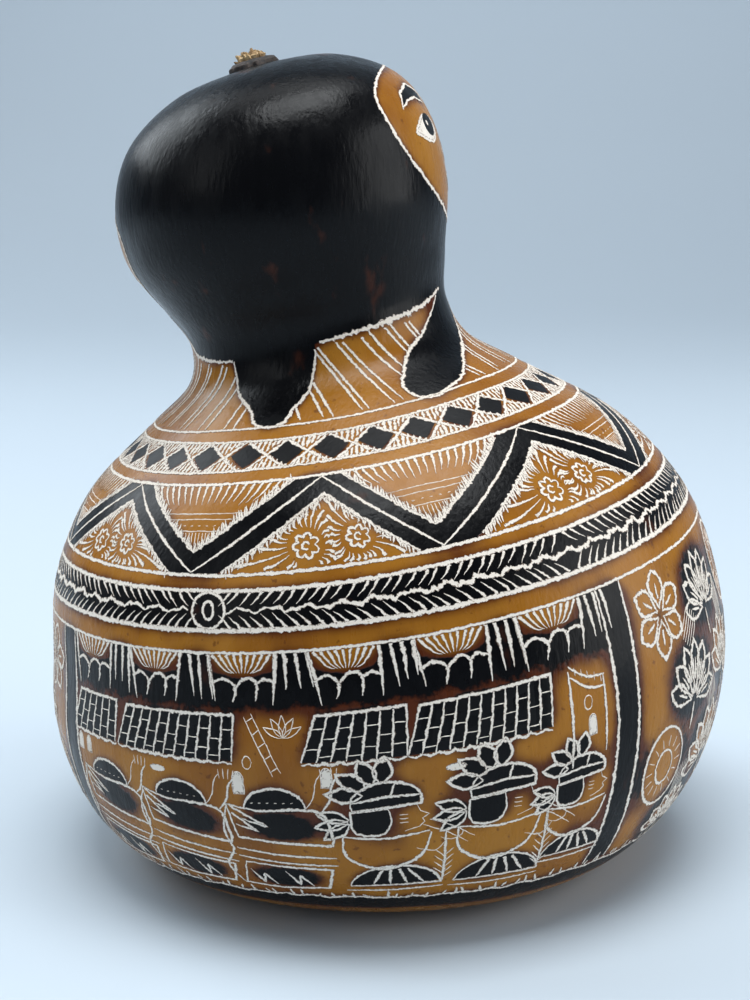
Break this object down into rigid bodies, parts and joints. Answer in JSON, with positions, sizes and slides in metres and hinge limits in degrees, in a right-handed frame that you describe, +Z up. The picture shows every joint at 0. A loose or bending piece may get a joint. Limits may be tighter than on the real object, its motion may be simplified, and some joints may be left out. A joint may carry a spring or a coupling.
{
  "type": "gourd rattle",
  "caption": "Dried bottle gourd rattle with a wide belly, a leaning rounded head, a stem stub, and loose seeds inside that sound when it is shaken.",
  "frame": {"origin": "centre of the flat seat that the gourd stands on", "axes": "+Z up through the head, -X the side that the head leans to, -Y the side with the village scene"},
  "size_m": [0.1419, 0.1424, 0.1653],
  "materials": {
    "rind": "polished orange-brown gourd rind with a burnt, carved and chalk-filled surface",
    "burnt_rind": "rind burnt near-black with a hot iron, faint red-brown edges",
    "carved_line": "matte chalk white rubbed into carved lines",
    "stem_fibre": "dry crumbly fibre",
    "stem_cork": "burnt cork",
    "seed_husk": "dry seed husk"
  },
  "bodies": {
    "gourd": {"gourd_shell": "rind", "stem_stub": "stem_fibre", "stem_scar": "stem_cork"},
    "seed_01": {"seed_01": "seed_husk"},
    "seed_02": {"seed_02": "seed_husk"},
    "seed_03": {"seed_03": "seed_husk"},
    "seed_04": {"seed_04": "seed_husk"},
    "seed_05": {"seed_05": "seed_husk"},
    "seed_06": {"seed_06": "seed_husk"},
    "seed_07": {"seed_07": "seed_husk"},
    "seed_08": {"seed_08": "seed_husk"},
    "seed_09": {"seed_09": "seed_husk"},
    "seed_10": {"seed_10": "seed_husk"},
    "seed_11": {"seed_11": "seed_husk"},
    "seed_12": {"seed_12": "seed_husk"},
    "seed_13": {"seed_13": "seed_husk"},
    "seed_14": {"seed_14": "seed_husk"},
    "seed_15": {"seed_15": "seed_husk"},
    "seed_16": {"seed_16": "seed_husk"},
    "seed_17": {"seed_17": "seed_husk"},
    "seed_18": {"seed_18": "seed_husk"},
    "seed_19": {"seed_19": "seed_husk"},
    "seed_20": {"seed_20": "seed_husk"},
    "seed_21": {"seed_21": "seed_husk"},
    "seed_22": {"seed_22": "seed_husk"},
    "seed_23": {"seed_23": "seed_husk"},
    "seed_24": {"seed_24": "seed_husk"}
  },
  "joints": [
    {"name": "seed_01_bounce", "type": "slide", "parent": "gourd", "child": "seed_01", "axis": [0, 0, 1], "range_m": [0, 0.055]},
    {"name": "seed_02_bounce", "type": "slide", "parent": "gourd", "child": "seed_02", "axis": [0, 0, 1], "range_m": [0, 0.055]},
    {"name": "seed_03_bounce", "type": "slide", "parent": "gourd", "child": "seed_03", "axis": [0, 0, 1], "range_m": [0, 0.055]},
    {"name": "seed_04_bounce", "type": "slide", "parent": "gourd", "child": "seed_04", "axis": [0, 0, 1], "range_m": [0, 0.055]},
    {"name": "seed_05_bounce", "type": "slide", "parent": "gourd", "child": "seed_05", "axis": [0, 0, 1], "range_m": [0, 0.055]},
    {"name": "seed_06_bounce", "type": "slide", "parent": "gourd", "child": "seed_06", "axis": [0, 0, 1], "range_m": [0, 0.055]},
    {"name": "seed_07_bounce", "type": "slide", "parent": "gourd", "child": "seed_07", "axis": [0, 0, 1], "range_m": [0, 0.055]},
    {"name": "seed_08_bounce", "type": "slide", "parent": "gourd", "child": "seed_08", "axis": [0, 0, 1], "range_m": [0, 0.055]},
    {"name": "seed_09_bounce", "type": "slide", "parent": "gourd", "child": "seed_09", "axis": [0, 0, 1], "range_m": [0, 0.055]},
    {"name": "seed_10_bounce", "type": "slide", "parent": "gourd", "child": "seed_10", "axis": [0, 0, 1], "range_m": [0, 0.055]},
    {"name": "seed_11_bounce", "type": "slide", "parent": "gourd", "child": "seed_11", "axis": [0, 0, 1], "range_m": [0, 0.055]},
    {"name": "seed_12_bounce", "type": "slide", "parent": "gourd", "child": "seed_12", "axis": [0, 0, 1], "range_m": [0, 0.055]},
    {"name": "seed_13_bounce", "type": "slide", "parent": "gourd", "child": "seed_13", "axis": [0, 0, 1], "range_m": [0, 0.055]},
    {"name": "seed_14_bounce", "type": "slide", "parent": "gourd", "child": "seed_14", "axis": [0, 0, 1], "range_m": [0, 0.055]},
    {"name": "seed_15_bounce", "type": "slide", "parent": "gourd", "child": "seed_15", "axis": [0, 0, 1], "range_m": [0, 0.055]},
    {"name": "seed_16_bounce", "type": "slide", "parent": "gourd", "child": "seed_16", "axis": [0, 0, 1], "range_m": [0, 0.055]},
    {"name": "seed_17_bounce", "type": "slide", "parent": "gourd", "child": "seed_17", "axis": [0, 0, 1], "range_m": [0, 0.055]},
    {"name": "seed_18_bounce", "type": "slide", "parent": "gourd", "child": "seed_18", "axis": [0, 0, 1], "range_m": [0, 0.055]},
    {"name": "seed_19_bounce", "type": "slide", "parent": "gourd", "child": "seed_19", "axis": [0, 0, 1], "range_m": [0, 0.055]},
    {"name": "seed_20_bounce", "type": "slide", "parent": "gourd", "child": "seed_20", "axis": [0, 0, 1], "range_m": [0, 0.055]},
    {"name": "seed_21_bounce", "type": "slide", "parent": "gourd", "child": "seed_21", "axis": [0, 0, 1], "range_m": [0, 0.055]},
    {"name": "seed_22_bounce", "type": "slide", "parent": "gourd", "child": "seed_22", "axis": [0, 0, 1], "range_m": [0, 0.055]},
    {"name": "seed_23_bounce", "type": "slide", "parent": "gourd", "child": "seed_23", "axis": [0, 0, 1], "range_m": [0, 0.055]},
    {"name": "seed_24_bounce", "type": "slide", "parent": "gourd", "child": "seed_24", "axis": [0, 0, 1], "range_m": [0, 0.055]}
  ]
}
